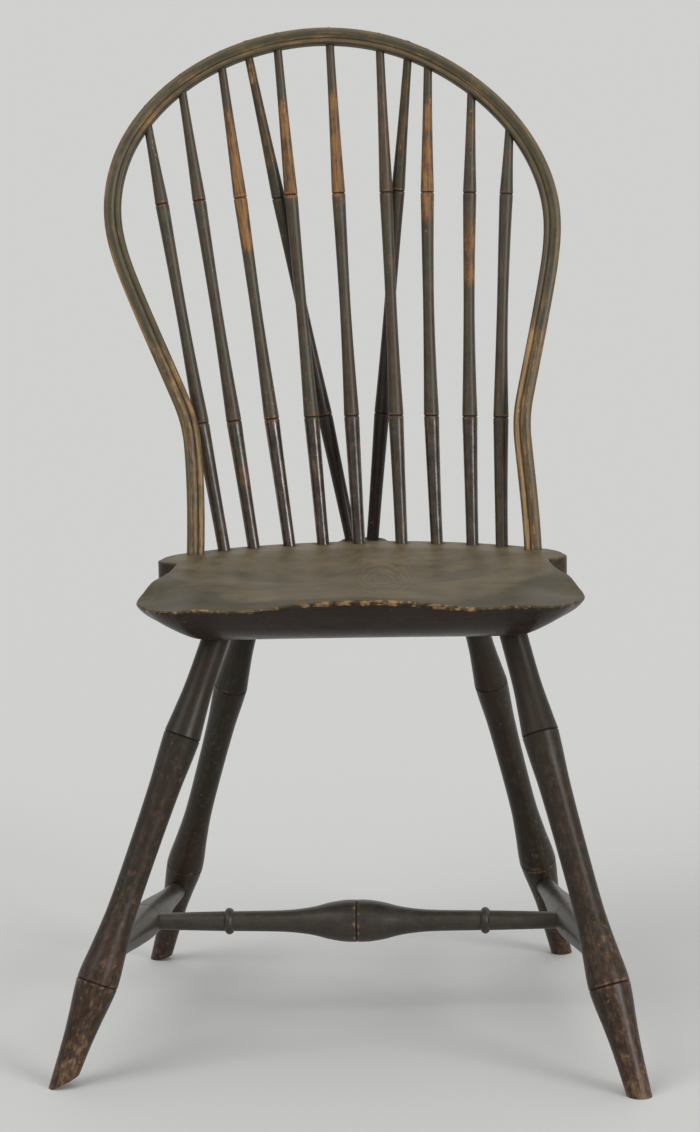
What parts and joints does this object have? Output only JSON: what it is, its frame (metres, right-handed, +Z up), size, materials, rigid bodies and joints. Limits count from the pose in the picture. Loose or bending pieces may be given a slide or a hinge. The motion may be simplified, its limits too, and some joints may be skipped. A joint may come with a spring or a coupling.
{
  "type": "windsor chair",
  "caption": "Braced bow-back Windsor side chair with bamboo-turned spindles, legs and stretchers, and a carved saddle seat.",
  "frame": {"origin": "bottom centre of the whole chair, on the floor", "axes": "+Z up, the sitter faces -Y, +X is the right side seen from the front of the chair"},
  "size_m": [0.5512, 0.5528, 0.9565],
  "materials": {
    "seat_wood": "weathered dark paint, olive to purplish brown, rubbed satin on the dished top, worn to ochre wood on the front edge",
    "bow_wood": "weathered dark green-black paint, satin, worn to ochre wood on the crest and the lower legs",
    "spindle_wood": "weathered dark brown paint, satin, worn to orange-brown wood on the upper shafts",
    "brace_wood": "weathered dark green-black paint, satin",
    "leg_wood": "weathered dark brown-black paint, satin, reddish-brown wear on the faces, worn tan at the foot",
    "stretcher_wood": "weathered dark brown-grey paint, satin, light wear in the scored rings",
    "wedge_wood": "dark stained end grain"
  },
  "bodies": {
    "root": {"seat": "seat_wood", "bow": "bow_wood", "back_spindle_1": "spindle_wood", "back_spindle_2": "spindle_wood", "back_spindle_3": "spindle_wood", "back_spindle_4": "spindle_wood", "back_spindle_5": "spindle_wood", "back_spindle_6": "spindle_wood", "back_spindle_7": "spindle_wood", "back_spindle_8": "spindle_wood", "back_spindle_9": "spindle_wood", "brace_spindle_left": "brace_wood", "brace_spindle_right": "brace_wood", "front_leg_left": "leg_wood", "front_leg_right": "leg_wood", "rear_leg_left": "leg_wood", "rear_leg_right": "leg_wood", "side_stretcher_left": "stretcher_wood", "side_stretcher_right": "stretcher_wood", "cross_stretcher": "stretcher_wood", "bow_wedges": "wedge_wood", "spindle_wedges": "wedge_wood"}
  },
  "joints": []
}
